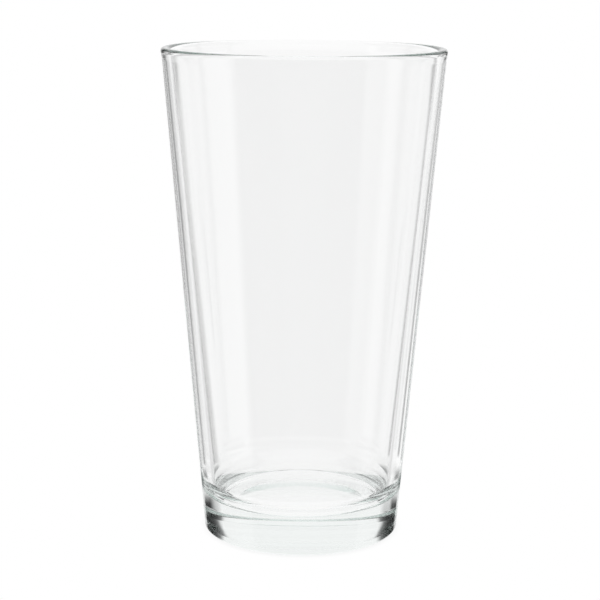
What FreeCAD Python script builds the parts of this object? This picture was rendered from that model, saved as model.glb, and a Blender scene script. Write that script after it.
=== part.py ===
import FreeCAD, Part
import math
import os
import Sketcher

# Mixing glass: one tapered tumbler of clear pressed glass, standing on its foot.
# Frame: millimetres, +Z up along the axis of revolution, origin at the centre of
# the plane the glass stands on.

doc = FreeCAD.newDocument("mixing_glass")

# ---------------------------------------------------------------- driving sizes
SIZES = [
    ("glass_height", 149.2, "overall height, 5 7/8 in"),
    ("base_dia", 60.3, "outer wall carried down to the table, 2 3/8 in"),
    ("rim_dia", 85.9, "wall and bead carried up to the top plane; rounding the lip leaves 85.7, 3 3/8 in"),
    ("bead_proud", 0.2, "how far the rim bead stands out from the wall"),
    ("bead_height", 3.4, "height of the rim bead"),
    ("bead_step", 2, "height over which the bead swells out from the wall"),
    ("lip_outer", 1.1, "outer rounding of the lip"),
    ("lip_inner", 1.6, "inner rounding of the lip"),
    ("rim_wall", 2.9, "wall thickness at the lip"),
    ("foot_wall", 3.9, "wall thickness level with the floor"),
    ("floor_level", 10.8, "height of the inside floor"),
    ("floor_fillet", 7, "radius between the inside wall and the floor"),
    ("heel_radius", 1, "rounding of the outside bottom corner"),
    ("ring_dia", 40.8, "inner diameter of the flat ring the glass rests on"),
    ("push_up", 1, "height of the hollow under the foot"),
]

sheet = doc.addObject("Spreadsheet::Sheet", "sizes")
sheet.set("A1", "name")
sheet.set("B1", "millimetres")
sheet.set("C1", "meaning")
for i, (alias, value, note) in enumerate(SIZES):
    row = i + 2
    sheet.set("A%d" % row, alias)
    sheet.set("B%d" % row, "%g" % value)
    sheet.setAlias("B%d" % row, alias)
    sheet.set("C%d" % row, note)
doc.recompute()

V = dict((alias, float(sheet.get(alias))) for alias, _, _ in SIZES)

# ------------------------------------------------------------------ the one body
body = doc.addObject("PartDesign::Body", "mixing_glass")
body.Label = "mixing_glass"


def origin_part(role):
    for item in body.Origin.OriginFeatures:
        if item.Role == role:
            return item
    raise RuntimeError("no origin feature " + role)


def new_sketch(name):
    sk = body.newObject("Sketcher::SketchObject", name)
    sk.AttachmentSupport = [(origin_part("XZ_Plane"), "")]
    sk.MapMode = "FlatFace"
    return sk


def polygon(sk, points):
    """Closed chain of lines through (radius, height) points; returns line ids."""
    ids = []
    n = len(points)
    for i in range(n):
        a, b = points[i], points[(i + 1) % n]
        ids.append(sk.addGeometry(Part.LineSegment(
            FreeCAD.Vector(a[0], a[1], 0), FreeCAD.Vector(b[0], b[1], 0)), False))
    for i in range(n):
        sk.addConstraint(Sketcher.Constraint("Coincident", ids[i], 2, ids[(i + 1) % n], 1))
    return ids


def pin_point(sk, line, end, rname, rexpr, rval, zname, zexpr, zval):
    """Ties one corner to the sheet, by its radius and its height."""
    if rexpr is not None:
        k = sk.addConstraint(Sketcher.Constraint("DistanceX", -1, 1, line, end, rval))
        sk.renameConstraint(k, rname)
        sk.setExpression("Constraints." + rname, rexpr)
    else:
        sk.addConstraint(Sketcher.Constraint("PointOnObject", line, end, -2))
    if zexpr is not None:
        k = sk.addConstraint(Sketcher.Constraint("DistanceY", -1, 1, line, end, zval))
        sk.renameConstraint(k, zname)
        sk.setExpression("Constraints." + zname, zexpr)
    else:
        sk.addConstraint(Sketcher.Constraint("PointOnObject", line, end, -1))


base_r = V["base_dia"] / 2.0
rim_r = V["rim_dia"] / 2.0
high = V["glass_height"]
wall_top_r = rim_r - V["bead_proud"]
slope = (wall_top_r - base_r) / high
bead_z = high - V["bead_height"]
bead_r = base_r + slope * bead_z

# Outside of the glass, solid all through: foot, straight cone wall, rim bead.
S_EXPR = "(sizes.rim_dia / 2 - sizes.bead_proud - sizes.base_dia / 2) / sizes.glass_height"
BEAD_Z = "(sizes.glass_height - sizes.bead_height)"
SWELL_Z = "(sizes.glass_height - sizes.bead_height + sizes.bead_step)"
outer = new_sketch("outer_profile")
swell_z = bead_z + V["bead_step"]
swell_r = base_r + slope * swell_z + V["bead_proud"]
pts = [(0, 0), (base_r, 0), (bead_r, bead_z), (swell_r, swell_z), (rim_r, high), (0, high)]
ln = polygon(outer, pts)
pin_point(outer, ln[0], 1, None, None, 0, None, None, 0)
pin_point(outer, ln[1], 1, "foot_r", "sizes.base_dia / 2", base_r, None, None, 0)
pin_point(outer, ln[2], 1, "wall_r", "sizes.base_dia / 2 + %s * %s" % (S_EXPR, BEAD_Z), bead_r,
          "wall_z", BEAD_Z, bead_z)
pin_point(outer, ln[3], 1, "bead_r", "sizes.base_dia / 2 + %s * %s + sizes.bead_proud" % (S_EXPR, SWELL_Z),
          swell_r, "bead_z", SWELL_Z, swell_z)
pin_point(outer, ln[4], 1, "rim_r", "sizes.rim_dia / 2", rim_r, "rim_z", "sizes.glass_height", high)
pin_point(outer, ln[5], 1, None, None, 0, "axis_z", "sizes.glass_height", high)
doc.recompute()

blank = body.newObject("PartDesign::Revolution", "outside_form")
blank.Profile = outer
blank.ReferenceAxis = (outer, ["V_Axis"])
blank.Angle = 360.0
doc.recompute()
blank_volume = blank.Shape.Volume

# The drink cavity: the plunger's straight taper and flat nose, run on past the rim.
mouth_r = rim_r - V["rim_wall"]
floor_z = V["floor_level"]
floor_r = base_r + slope * floor_z - V["foot_wall"]
taper = (mouth_r - floor_r) / (high - floor_z)
top_z = high + 5.0
F_EXPR = "(sizes.base_dia / 2 + %s * sizes.floor_level - sizes.foot_wall)" % S_EXPR
M_EXPR = "(sizes.rim_dia / 2 - sizes.rim_wall)"
T_EXPR = "(%s + (%s - %s) * (sizes.glass_height + 5 - sizes.floor_level) / (sizes.glass_height - sizes.floor_level))" % (
    F_EXPR, M_EXPR, F_EXPR)
cavity = new_sketch("cavity_profile")
pts = [(0, floor_z), (floor_r, floor_z), (floor_r + taper * (top_z - floor_z), top_z), (0, top_z)]
ln = polygon(cavity, pts)
pin_point(cavity, ln[0], 1, None, None, 0, "nose_z", "sizes.floor_level", floor_z)
pin_point(cavity, ln[1], 1, "nose_r", F_EXPR, floor_r, "nose_edge_z", "sizes.floor_level", floor_z)
pin_point(cavity, ln[2], 1, "mouth_r", T_EXPR, pts[2][0], "mouth_z", "sizes.glass_height + 5", top_z)
pin_point(cavity, ln[3], 1, None, None, 0, "mouth_axis_z", "sizes.glass_height + 5", top_z)
doc.recompute()

hollow = body.newObject("PartDesign::Groove", "drink_cavity")
hollow.Profile = cavity
hollow.ReferenceAxis = (cavity, ["V_Axis"])
hollow.Angle = 360.0
doc.recompute()
hollow_volume = hollow.Shape.Volume
if hollow_volume > blank_volume - 300000.0:
    raise RuntimeError("the drink cavity wasn't cut")

# The shallow hollow under the foot leaves a flat ring to stand on.
ring_r = V["ring_dia"] / 2.0
rise = V["push_up"]
ball = (ring_r ** 2 + rise ** 2) / (2.0 * rise)
under = new_sketch("push_up_profile")
a0 = math.asin(ring_r / ball)
arc = under.addGeometry(Part.ArcOfCircle(
    Part.Circle(FreeCAD.Vector(0, rise - ball, 0), FreeCAD.Vector(0, 0, 1), ball),
    math.pi / 2.0 - a0, math.pi / 2.0), False)
l1 = under.addGeometry(Part.LineSegment(FreeCAD.Vector(0, rise, 0), FreeCAD.Vector(0, 0, 0)), False)
l2 = under.addGeometry(Part.LineSegment(FreeCAD.Vector(0, 0, 0), FreeCAD.Vector(ring_r, 0, 0)), False)
under.addConstraint(Sketcher.Constraint("Coincident", arc, 2, l1, 1))
under.addConstraint(Sketcher.Constraint("Coincident", l1, 2, l2, 1))
under.addConstraint(Sketcher.Constraint("Coincident", l2, 2, arc, 1))
under.addConstraint(Sketcher.Constraint("Coincident", l1, 2, -1, 1))
under.addConstraint(Sketcher.Constraint("PointOnObject", l1, 1, -2))
under.addConstraint(Sketcher.Constraint("PointOnObject", l2, 2, -1))
under.addConstraint(Sketcher.Constraint("PointOnObject", arc, 3, -2))
k = under.addConstraint(Sketcher.Constraint("DistanceX", -1, 1, l2, 2, ring_r))
under.renameConstraint(k, "ring_r")
under.setExpression("Constraints.ring_r", "sizes.ring_dia / 2")
k = under.addConstraint(Sketcher.Constraint("DistanceY", -1, 1, l1, 1, rise))
under.renameConstraint(k, "rise")
under.setExpression("Constraints.rise", "sizes.push_up")
doc.recompute()

dish = body.newObject("PartDesign::Groove", "push_up_hollow")
dish.Profile = under
dish.ReferenceAxis = (under, ["V_Axis"])
dish.Angle = 360.0
doc.recompute()
dish_volume = dish.Shape.Volume
if dish_volume > hollow_volume - 500.0:
    raise RuntimeError("the push-up wasn't cut")


# ------------------------------------------------------------------- roundings
def ring_edge(shape, radius, z):
    """Name of the circular edge with this radius at this height."""
    best, err = None, 1e9
    for i, e in enumerate(shape.Edges):
        if e.Degenerated or not isinstance(e.Curve, Part.Circle):
            continue
        c = e.Curve
        d = abs(c.Radius - radius) + abs(e.BoundBox.ZMin - z) + abs(e.BoundBox.ZMax - z)
        if d < err:
            best, err = "Edge%d" % (i + 1), d
    if err > 0.05:
        raise RuntimeError("no edge of radius %.2f at height %.2f" % (radius, z))
    return best


def rounding(name, base, radius, z, size_alias):
    f = body.newObject("PartDesign::Fillet", name)
    f.Base = (base, [ring_edge(base.Shape, radius, z)])
    f.Radius = V[size_alias]
    f.setExpression("Radius", "sizes." + size_alias)
    doc.recompute()
    if f.Shape.isNull() or "Invalid" in f.State or "Error" in f.State:
        raise RuntimeError("%s couldn't be rounded: %s" % (name, f.State))
    return f


step = rounding("floor_rounding", dish, floor_r, floor_z, "floor_fillet")
step = rounding("heel_rounding", step, base_r, 0.0, "heel_radius")
step = rounding("lip_outer_rounding", step, rim_r, high, "lip_outer")
step = rounding("lip_inner_rounding", step, mouth_r, high, "lip_inner")
body.Tip = step
body.Placement = FreeCAD.Placement()
doc.recompute()

# ------------------------------------------------------------- test, then write
for obj in doc.Objects:
    bad = [s for s in obj.State if s in ("Invalid", "Error")]
    if bad:
        raise RuntimeError("%s is %s" % (obj.Name, bad))

NODES = [body]
os.makedirs("parts", exist_ok=True)
for item in NODES:
    shape = item.Shape
    if shape.isNull() or not shape.isValid() or len(shape.Solids) != 1:
        raise RuntimeError(item.Label + " has no valid single solid")
    box = shape.optimalBoundingBox(False)
    if abs(box.ZMin) > 0.01 or abs(box.ZMax - high) > 0.01 or abs(box.XLength - V["rim_dia"]) > 0.3:
        raise RuntimeError(item.Label + " came out the wrong size")
    print("%s: volume %.1f cm3, box %.2f x %.2f x %.2f mm, faces %d" % (
        item.Label, shape.Volume / 1000.0, box.XLength, box.YLength, box.ZLength, len(shape.Faces)))
    shape.exportStep("parts/%s.step" % item.Label)
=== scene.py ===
# A clear mixing glass: a turned, flared body with a beaded rim, a thick floor and a
# domed underside. It stands upright on z = 0 with its axis on +Z; the camera is on
# the -Y side. Lengths called out in millimetres are turned into metres with MM.
import bpy, bmesh, math
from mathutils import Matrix, Quaternion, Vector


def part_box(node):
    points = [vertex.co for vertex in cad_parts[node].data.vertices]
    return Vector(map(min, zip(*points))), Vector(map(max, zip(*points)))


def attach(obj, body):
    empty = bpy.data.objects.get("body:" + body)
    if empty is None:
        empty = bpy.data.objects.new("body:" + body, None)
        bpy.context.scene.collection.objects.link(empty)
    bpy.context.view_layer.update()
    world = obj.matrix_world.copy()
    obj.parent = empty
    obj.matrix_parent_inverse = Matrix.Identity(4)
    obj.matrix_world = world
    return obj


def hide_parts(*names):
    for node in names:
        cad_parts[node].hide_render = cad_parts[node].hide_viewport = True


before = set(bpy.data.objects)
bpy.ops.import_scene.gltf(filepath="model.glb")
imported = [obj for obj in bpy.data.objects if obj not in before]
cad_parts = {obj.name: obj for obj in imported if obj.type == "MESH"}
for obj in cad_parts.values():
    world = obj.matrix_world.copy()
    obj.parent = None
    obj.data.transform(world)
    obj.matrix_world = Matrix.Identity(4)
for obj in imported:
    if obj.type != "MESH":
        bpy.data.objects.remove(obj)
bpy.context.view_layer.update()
NODE = "mixing_glass"
node_lo, node_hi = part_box(NODE)
scene = bpy.context.scene
MM = 0.001


# ------------------------------------------------------------------ shared helpers
def add_object(name, verts, faces):
    mesh = bpy.data.meshes.new(name)
    mesh.from_pydata(verts, [], faces)
    obj = bpy.data.objects.new(name, mesh)
    scene.collection.objects.link(obj)
    return obj


def shade_smooth(mesh):
    for polygon in mesh.polygons:
        polygon.use_smooth = True


class Graph:
    """Builds a shader node tree from sockets and plain numbers."""

    def __init__(self, owner):
        owner.use_nodes = True
        self.tree = owner.node_tree
        self.tree.nodes.clear()

    def add(self, kind, inputs=None, **settings):
        """Adds a node; each input, by name or index, takes a constant or a socket."""
        node = self.tree.nodes.new(kind)
        for name, value in settings.items():
            setattr(node, name, value)
        for key, value in (inputs or {}).items():
            if isinstance(value, (int, float, tuple)):
                node.inputs[key].default_value = value
            else:
                self.tree.links.new(value, node.inputs[key])
        return node

    def math(self, operation, *values):
        node = self.add("ShaderNodeMath", dict(enumerate(values)), operation=operation)
        return node.outputs[0]

    def map_range(self, value, source, target=(0.0, 1.0), interpolation="LINEAR"):
        inputs = {"From Min": source[0], "From Max": source[1],
                  "To Min": target[0], "To Max": target[1], "Value": value}
        node = self.add("ShaderNodeMapRange", inputs, interpolation_type=interpolation)
        return node.outputs["Result"]

    def above(self, value, edge, soft):
        """0 below the edge, 1 above it, smooth over +-soft."""
        return self.map_range(value, (edge - soft, edge + soft), interpolation="SMOOTHSTEP")

    def below(self, value, edge, soft):
        return self.invert(self.above(value, edge, soft))

    def band(self, value, low, high, soft_low, soft_high):
        """1 between low and high, 0 outside."""
        return self.math("MULTIPLY", self.above(value, low, soft_low),
                         self.below(value, high, soft_high))

    def invert(self, value):
        return self.math("SUBTRACT", 1.0, value)

    def blend(self, base, top, amount):
        """base + (top - base) * amount"""
        return self.math("MULTIPLY_ADD", self.math("SUBTRACT", top, base), amount, base)

    def noise(self, vector, scale, detail, roughness):
        inputs = {"Vector": vector, "Scale": scale, "Detail": detail, "Roughness": roughness}
        return self.add("ShaderNodeTexNoise", inputs).outputs["Fac"]

    def separate(self, vector):
        return self.add("ShaderNodeSeparateXYZ", {"Vector": vector}).outputs

    def to_camera(self, vector):
        """X, Y and Z of a world vector turned to camera axes: +X right, +Z away."""
        turned = self.add("ShaderNodeVectorTransform", {"Vector": vector},
                          vector_type="VECTOR", convert_from="WORLD", convert_to="CAMERA")
        return self.separate(turned.outputs["Vector"])

    def geometry(self, output):
        return self.add("ShaderNodeNewGeometry").outputs[output]

    def camera_ray(self):
        return self.add("ShaderNodeLightPath").outputs["Is Camera Ray"]

    def mix_shaders(self, amount, first, second):
        inputs = {"Fac": amount, 1: first, 2: second}
        return self.add("ShaderNodeMixShader", inputs).outputs[0]


# ----------------------------------------------------------------------- the glass
# Millimetres
HEIGHT = (node_hi.z - node_lo.z) / MM
BASE_R = 30.15
RIM_R = 42.95
BEAD_PROUD = 0.2          # how far the bead stands out from the wall
BEAD_HEIGHT = 3.4         # from its lower edge to the rim
BEAD_STEP = 2.0           # height over which it comes out to full width
RIM_WALL = 2.9
FOOT_WALL = 3.9
FLOOR_Z = 10.8
RING_R = 20.4             # inner edge of the flat resting ring
DOME_RISE = 1.0           # rise of the underside inside that ring
DOME_STEPS = 14
MAX_SPAN = 3.0            # longest straight piece of the half-section
SEGMENTS = 256

# Corner roundings: (radius, arc steps)
RING_EDGE = (0.5, 6)
HEEL = (1.0, 14)
BEAD_EDGE = (0.9, 5)
LIP_OUTER = (1.1, 16)
LIP_INNER = (1.6, 14)
FLOOR_FILLET = (7.0, 30)
SHARP = (0.0, 0)


def half_section():
    """(r, z, radius, steps) from the middle of the underside, up the outside, over
    the lip, down the inside and in to the middle of the floor."""
    wall_top_r = RIM_R - BEAD_PROUD
    slope = (wall_top_r - BASE_R) / HEIGHT
    bead_z = HEIGHT - BEAD_HEIGHT
    bead_full_z = bead_z + BEAD_STEP
    floor_r = BASE_R + slope * FLOOR_Z - FOOT_WALL
    dome_r = (RING_R ** 2 + DOME_RISE ** 2) / (2 * DOME_RISE)
    section = []
    for k in range(DOME_STEPS):
        angle = math.asin(RING_R / dome_r) * k / DOME_STEPS
        z = DOME_RISE - dome_r + dome_r * math.cos(angle)
        section.append((dome_r * math.sin(angle), z, *SHARP))
    return section + [
        (RING_R, 0.0, *RING_EDGE),
        (BASE_R, 0.0, *HEEL),
        (BASE_R + slope * bead_z, bead_z, *BEAD_EDGE),
        (BASE_R + slope * bead_full_z + BEAD_PROUD, bead_full_z, *BEAD_EDGE),
        (RIM_R, HEIGHT, *LIP_OUTER),
        (RIM_R - RIM_WALL, HEIGHT, *LIP_INNER),
        (floor_r, FLOOR_Z, *FLOOR_FILLET),
        (0.0, FLOOR_Z, *SHARP),
    ]


def round_corners(section):
    """Replaces each corner that has a radius with a true arc; returns (r, z) points."""
    rounded = [section[0][:2]]
    for before, here, after in zip(section, section[1:], section[2:]):
        corner = Vector(here[:2])
        radius, steps = here[2:]
        if radius <= 0:
            rounded.append(tuple(corner))
            continue
        back = (Vector(before[:2]) - corner).normalized()
        ahead = (Vector(after[:2]) - corner).normalized()
        half = back.angle(ahead) / 2
        tangent = radius / math.tan(half)
        centre = corner + (back + ahead).normalized() * (radius / math.sin(half))
        first = corner + back * tangent - centre
        last = corner + ahead * tangent - centre
        start = math.atan2(first.y, first.x)
        turn = math.atan2(last.y, last.x) - start
        turn = (turn + math.pi) % (2 * math.pi) - math.pi   # the short way round
        for k in range(steps + 1):
            angle = start + turn * k / steps
            rounded.append((centre.x + radius * math.cos(angle),
                            centre.y + radius * math.sin(angle)))
    rounded.append(section[-1][:2])
    return rounded


def subdivide(chain, longest):
    fine = [chain[0]]
    for (r0, z0), (r1, z1) in zip(chain, chain[1:]):
        pieces = max(1, math.ceil(math.hypot(r1 - r0, z1 - z0) / longest))
        for k in range(1, pieces + 1):
            fine.append((r0 + (r1 - r0) * k / pieces, z0 + (z1 - z0) * k / pieces))
    return fine


def lathe(name, chain, segments):
    """Turns (r, z) points in millimetres about Z; a point on the axis is one vertex."""
    verts, faces, rows = [], [], []
    for r, z in chain:
        start = len(verts)
        if r < 1e-6:
            verts.append((0, 0, z * MM))
        else:
            for k in range(segments):
                angle = 2 * math.pi * k / segments
                verts.append((r * MM * math.cos(angle), r * MM * math.sin(angle), z * MM))
        rows.append(range(start, len(verts)))
    for low, high in zip(rows, rows[1:]):
        for k in range(segments):
            following = (k + 1) % segments
            if len(low) == 1:
                faces.append((low[0], high[following], high[k]))
            elif len(high) == 1:
                faces.append((low[k], low[following], high[0]))
            else:
                faces.append((low[k], low[following], high[following], high[k]))
    obj = add_object(name, verts, faces)
    obj.data.validate()
    bm = bmesh.new()
    bm.from_mesh(obj.data)
    bmesh.ops.recalc_face_normals(bm, faces=bm.faces)
    bm.to_mesh(obj.data)
    bm.free()
    shade_smooth(obj.data)
    return obj


# Glass surface; distances in metres, noise scales in cycles per metre
WAVES = dict(scale=1.0, detail=1.0, roughness=0.4)
WAVE_STRETCH = (34.0, 34.0, 9.0)      # waves run longer up the wall than round it
PEEL = dict(scale=420.0, detail=1.0, roughness=0.4)
PEEL_SHARE = 0.06                     # height of the orange-peel against the waves
PEEL_FADE = (0.020, 0.004)            # heights where it is gone and where it is full
BUMP = {"Strength": 0.02, "Distance": 0.001}
SCUFFS = dict(scale=2600.0, detail=3.0, roughness=0.7)
SCUFF_FADE = (0.00035, 0.00005)       # heights where scuffs are gone and full
SCUFF_RANGE = (0.40, 0.75)            # noise values that go from clean to fully worn
SCUFF_ROUGHNESS = (0.0, 0.16)
GLASS_IOR = 1.52
TINT = {"Color": (0.915, 0.94, 0.932, 1), "Density": 18.0}


def clear_glass():
    """Nearly smooth glass with long soft waves in the wall, a slight orange-peel at
    the foot and fine scuffs where the resting ring touches."""
    mat = bpy.data.materials.new("clear_glass")
    g = Graph(mat)
    coord = g.add("ShaderNodeTexCoord").outputs["Object"]
    stretched = g.add("ShaderNodeMapping", {"Vector": coord, "Scale": WAVE_STRETCH})
    waves = g.noise(stretched.outputs["Vector"], **WAVES)
    peel = g.noise(coord, **PEEL)
    height = g.separate(coord)["Z"]
    peel = g.math("MULTIPLY", peel, g.map_range(height, PEEL_FADE))
    relief = g.math("MULTIPLY_ADD", peel, PEEL_SHARE, waves)
    bump = g.add("ShaderNodeBump", {**BUMP, "Height": relief}).outputs["Normal"]

    near_ground = g.map_range(height, SCUFF_FADE)
    worn = g.math("MULTIPLY", g.noise(coord, **SCUFFS), near_ground)
    surface = g.add("ShaderNodeBsdfPrincipled", {
        "Transmission Weight": 1.0,
        "IOR": GLASS_IOR,
        "Base Color": (1, 1, 1, 1),
        "Roughness": g.map_range(worn, SCUFF_RANGE, SCUFF_ROUGHNESS),
        "Normal": bump})
    volume = g.add("ShaderNodeVolumeAbsorption", TINT)
    g.add("ShaderNodeOutputMaterial", {"Surface": surface.outputs["BSDF"],
                                       "Volume": volume.outputs["Volume"]})
    return mat


glass = lathe("glass_body", subdivide(round_corners(half_section()), MAX_SPAN), SEGMENTS)
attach(glass, "root")
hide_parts(NODE)
glass.data.materials.append(clear_glass())

# ---------------------------------------------------------------------- the studio
# The world is all the light. Azimuth is measured from the way the camera looks
# (0 straight behind the glass, + to the right), so the light travels with the
# camera. Angles are degrees; edges are (angle, softness); tones run 0 to 1.
# Above the horizon, by azimuth to either side: (azimuth, tone). Black flags stand
# at the sides and bright walls behind the camera.
WALL_TONES = [(0, .35), (45, .30), (50, .10), (54, .04), (60, 0), (110, 0), (116, .9), (180, .9)]
CEILING_EDGE, CEILING_TONE = (55.0, 3.0), 1.0
# White table up to just above the horizon, dimmer on the camera's side of the glass
HORIZON = (10.0, 2.0)
TABLE_TONE, TABLE_DIM_TONE = .74, .30
TABLE_LEFT, TABLE_RIGHT = (-121.0, 1.5), (108.0, 1.5)
CENTRE = (0.0, .01)                   # split between the left and right halves
# A dark strip across the table on each side, just outside the sweep
STRIP_AZIMUTH = dict(low=45.5, high=50.5, soft_low=1.5, soft_high=1.5)
STRIP_ELEVATION = dict(low=-9.5, high=-5.5, soft_low=.8, soft_high=.8)
UNDER_EDGE, UNDER_TONE = (-40.0, 6.0), .97
SWEEP_EDGE = (44.0, 3.0)              # full white behind the glass, inside this azimuth
MIN_LEVEL = 0.15                      # keeps the division finite for a steep camera


def ray_angles(g):
    """Azimuth and elevation of the ray in degrees, for any camera pitch."""
    incoming = g.geometry("Incoming")
    rise = g.math("MULTIPLY", g.separate(incoming)["Z"], -1.0)
    seen = g.to_camera(incoming)
    sin_pitch = g.to_camera((0, 0, 1))["Z"]
    right = g.math("MULTIPLY", seen["X"], -1.0)
    forward = g.math("MULTIPLY", seen["Z"], -1.0)
    cos_squared = g.math("SUBTRACT", 1.0, g.math("MULTIPLY", sin_pitch, sin_pitch))
    cos_pitch = g.math("SQRT", g.math("MAXIMUM", cos_squared, 0.0))
    cos_pitch = g.math("MAXIMUM", cos_pitch, MIN_LEVEL)
    level = g.math("SUBTRACT", forward, g.math("MULTIPLY", rise, sin_pitch))
    level = g.math("DIVIDE", level, cos_pitch)
    azimuth = g.math("MULTIPLY", g.math("ARCTAN2", right, level), 180 / math.pi)
    elevation = g.math("MULTIPLY", g.math("ARCSINE", rise), 180 / math.pi)
    return azimuth, elevation


def wall_tone(g, off_axis):
    """WALL_TONES as a curve with straight pieces."""
    node = g.add("ShaderNodeFloatCurve", {"Value": g.math("DIVIDE", off_axis, 180.0)})
    curve = node.mapping.curves[0]
    stations = [(angle / 180.0, tone) for angle, tone in WALL_TONES]
    curve.points[0].location = stations[0]
    curve.points[1].location = stations[-1]
    for station in stations[1:-1]:
        curve.points.new(*station)
    for point in curve.points:
        point.handle_type = "VECTOR"
    node.mapping.update()
    return node.outputs["Value"]


def build_studio():
    world = bpy.data.worlds.new("studio")
    scene.world = world
    g = Graph(world)
    azimuth, elevation = ray_angles(g)
    off_axis = g.math("ABSOLUTE", azimuth)

    tone = wall_tone(g, off_axis)
    lit_left = g.math("MULTIPLY", g.above(azimuth, *TABLE_LEFT), g.below(azimuth, *CENTRE))
    lit_right = g.math("MULTIPLY", g.below(azimuth, *TABLE_RIGHT), g.above(azimuth, *CENTRE))
    lit = g.math("ADD", lit_left, lit_right)
    tone = g.blend(tone, CEILING_TONE, g.above(elevation, *CEILING_EDGE))
    table = g.math("MULTIPLY_ADD", lit, TABLE_TONE - TABLE_DIM_TONE, TABLE_DIM_TONE)
    tone = g.blend(tone, table, g.below(elevation, *HORIZON))
    strip = g.math("MULTIPLY", g.band(off_axis, **STRIP_AZIMUTH),
                   g.band(elevation, **STRIP_ELEVATION))
    tone = g.blend(tone, 0.0, strip)
    tone = g.blend(tone, UNDER_TONE, g.below(elevation, *UNDER_EDGE))
    tone = g.blend(tone, 1.0, g.below(off_axis, *SWEEP_EDGE))
    tone = g.blend(tone, 1.0, g.camera_ray())    # the camera itself sees plain white
    background = g.add("ShaderNodeBackground", {"Color": tone})
    g.add("ShaderNodeOutputWorld", {"Surface": background.outputs["Background"]})


build_studio()

# ----------------------------------------------------------------------- the cards
# Dark cards drawn on an upright tube round the glass, only on its far side from the
# camera and hidden from direct view. Millimetres.
TUBE_R = 85.0
TUBE_FOOT = -40.0
TUBE_TOP = 170.0
TUBE_SEGMENTS = 96
LEAN_BELOW = 90.0                     # cards lean in towards the axis below this height
BEHIND_EDGE = (0.0, 1.0)
CARD_FOOT_SOFT, CARD_TOP_SOFT = 1.0, 2.0
LEFT, RIGHT = -1.0, 1.0
# side, inner edge, outer edge, edge softness, share of light let through,
# low, high, lean (sideways shift per unit of height)
CARDS = [
    # tall
    (LEFT, 58.0, 73.0, 4.0, .50, -6.0, 170.0, .06),
    (LEFT, 64.5, 70.5, 2.5, .0, -6.0, 170.0, .06),
    (RIGHT, 64.0, 70.5, 3.0, .10, -2.0, 170.0, .05),
    # narrow, just below the foot
    (LEFT, 51.0, 66.0, 3.0, .12, -13.0, -7.5, 0.0),
    (RIGHT, 47.0, 66.0, 6.0, .05, -13.0, -7.5, 0.0),
    # low and black
    (LEFT, 62.0, 86.0, 2.0, .0, -40.0, -17.0, 0.0),
    (RIGHT, 62.0, 86.0, 2.0, .0, -40.0, -17.0, 0.0),
]


def card_black():
    mat = bpy.data.materials.new("card_black")
    g = Graph(mat)
    position = g.geometry("Position")
    seen = g.to_camera(position)
    up = g.to_camera((0, 0, 1))
    height = g.math("MULTIPLY", g.separate(position)["Z"], 1 / MM)
    across = g.math("MULTIPLY", seen["X"], 1 / MM)
    # level distance behind the axis, with the camera's pitch taken out
    depth = g.math("SUBTRACT", g.math("MULTIPLY", seen["Z"], 1 / MM),
                   g.math("MULTIPLY", height, up["Z"]))
    behind = g.above(depth, *BEHIND_EDGE)
    drop = g.math("MINIMUM", g.math("SUBTRACT", height, LEAN_BELOW), 0.0)
    dark = 0.0
    for side, inner, outer, soft, clear, low, high, lean in CARDS:
        out = g.math("SUBTRACT", g.math("MULTIPLY", across, side),
                     g.math("MULTIPLY", drop, lean))
        card = g.math("MULTIPLY", g.band(out, inner, outer, soft, soft),
                      g.band(height, low, high, CARD_FOOT_SOFT, CARD_TOP_SOFT))
        dark = g.math("MAXIMUM", dark, g.math("MULTIPLY", card, 1.0 - clear))
    dark = g.math("MULTIPLY", dark, behind)
    dark = g.math("MULTIPLY", dark, g.invert(g.camera_ray()))
    transparent = g.add("ShaderNodeBsdfTransparent").outputs[0]
    black = g.add("ShaderNodeEmission", {"Strength": 0.0}).outputs[0]
    g.add("ShaderNodeOutputMaterial", {"Surface": g.mix_shaders(dark, transparent, black)})
    return mat


def build_cards():
    count = TUBE_SEGMENTS
    angles = [2 * math.pi * k / count for k in range(count)]
    verts = [(TUBE_R * MM * math.cos(angle), TUBE_R * MM * math.sin(angle), z * MM)
             for z in (TUBE_FOOT, TUBE_TOP) for angle in angles]
    faces = [(k, (k + 1) % count, count + (k + 1) % count, count + k) for k in range(count)]
    tube = add_object("card_ring", verts, faces)
    shade_smooth(tube.data)
    tube.data.materials.append(card_black())


build_cards()

# ----------------------------------------------------------------------- the floor
# Metres
FLOOR_HALF = 0.6
SHEET_Z = -0.0001                     # just under the foot
# Painted contact shadow: the floor's emission is drawn faintly grey under the foot and fades to
# white
CONTACT_SHADOW_FADE = (0.0285, 0.0325)       # distances from the axis where the grey fades out
CONTACT_SHADOW_TONES = (0.93, 1.0)


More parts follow.
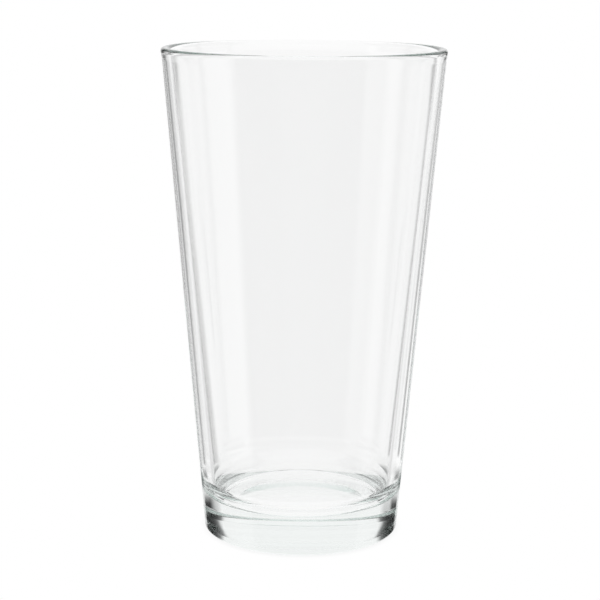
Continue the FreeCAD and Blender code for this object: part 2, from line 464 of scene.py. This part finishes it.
def floor_white_painted_shadow():
    """Plain white to the camera, with a faint painted contact shadow under the foot; clear to
    other rays.
    """
    mat = bpy.data.materials.new("floor_white_painted_shadow")
    g = Graph(mat)
    distance = g.add("ShaderNodeVectorMath", {0: g.geometry("Position")}, operation="LENGTH")
    # painted shade: grey close to the foot, plain white further out
    tone = g.map_range(distance.outputs["Value"], CONTACT_SHADOW_FADE, CONTACT_SHADOW_TONES, "SMOOTHERSTEP")
    sheet = g.add("ShaderNodeEmission", {"Strength": tone}).outputs[0]
    clear = g.add("ShaderNodeBsdfTransparent").outputs[0]
    surface = g.mix_shaders(g.camera_ray(), clear, sheet)
    g.add("ShaderNodeOutputMaterial", {"Surface": surface})
    return mat


def build_floor():
    corners = [(-1, -1), (1, -1), (1, 1), (-1, 1)]
    verts = [(x * FLOOR_HALF, y * FLOOR_HALF, SHEET_Z) for x, y in corners]
    floor = add_object("floor", verts, [(0, 1, 2, 3)])
    floor.data.materials.append(floor_white_painted_shadow())


build_floor()

# ---------------------------------------------------------------------- the camera
CAMERA_AT = (-0.72, -502.8, 178.6)    # millimetres
PITCH_DOWN = 11.96                    # degrees
ROLL = 0.438                          # degrees
SENSOR_WIDTH = 36.0
FOCAL_LENGTH = 100.104


def build_camera():
    data = bpy.data.cameras.new("camera")
    camera = bpy.data.objects.new("camera", data)
    scene.collection.objects.link(camera)
    data.sensor_width = SENSOR_WIDTH
    data.lens = FOCAL_LENGTH
    data.clip_start = 0.01
    data.clip_end = 50.0
    camera.location = [value * MM for value in CAMERA_AT]
    pitch = math.radians(PITCH_DOWN)
    look = Vector((0, math.cos(pitch), -math.sin(pitch)))
    roll = Quaternion((0, 0, 1), math.radians(ROLL))
    camera.rotation_mode = "QUATERNION"
    camera.rotation_quaternion = look.to_track_quat("-Z", "Y") @ roll
    scene.camera = camera


build_camera()

# Enough bounces for light to find its way out of the thick glass
LIGHT_BOUNCES = 160
scene.view_settings.view_transform = "Standard"
scene.cycles.max_bounces = LIGHT_BOUNCES
scene.cycles.transmission_bounces = LIGHT_BOUNCES
scene.cycles.glossy_bounces = LIGHT_BOUNCES
scene.cycles.transparent_max_bounces = 64
